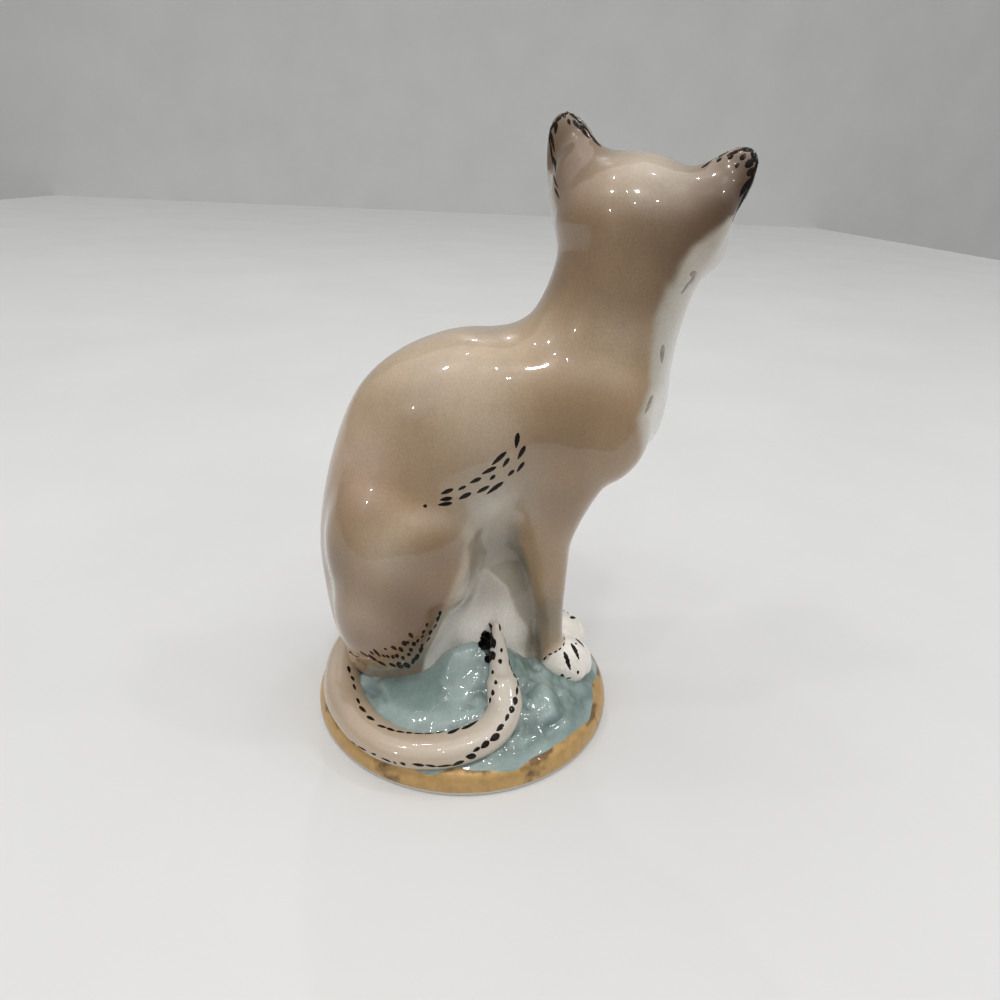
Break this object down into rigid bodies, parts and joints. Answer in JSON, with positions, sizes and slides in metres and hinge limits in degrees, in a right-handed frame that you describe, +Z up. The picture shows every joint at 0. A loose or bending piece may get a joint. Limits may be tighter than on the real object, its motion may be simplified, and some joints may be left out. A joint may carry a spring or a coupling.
{
  "type": "porcelain cat figurine",
  "caption": "Glazed porcelain figurine of a seated cat looking over its left shoulder, its tail curled forward on a round mound with a gilded edge.",
  "frame": {"origin": "under the middle of the figure's box, on the surface that its foot ring stands on; the middle of the mound is 6.9 mm behind it", "axes": "+Z up, -Y is where the chest faces, -X is the cat's right side, which carries the tail"},
  "size_m": [0.0652, 0.079, 0.1204],
  "materials": {
    "coat_glaze": "glossy clear glaze over an airbrushed tan coat, with a white chest and black painted fur strokes",
    "cream_glaze": "glossy clear glaze over cream porcelain, with rows of short black dashes",
    "ground_glaze": "glossy blue-green glaze that pools in the hollows, above a rubbed gilded band"
  },
  "bodies": {
    "root": {"mound": "ground_glaze", "body": "coat_glaze", "head": "coat_glaze", "ear_left": "coat_glaze", "ear_right": "coat_glaze", "foreleg_left": "coat_glaze", "foreleg_right": "coat_glaze", "tail": "cream_glaze"}
  },
  "joints": []
}
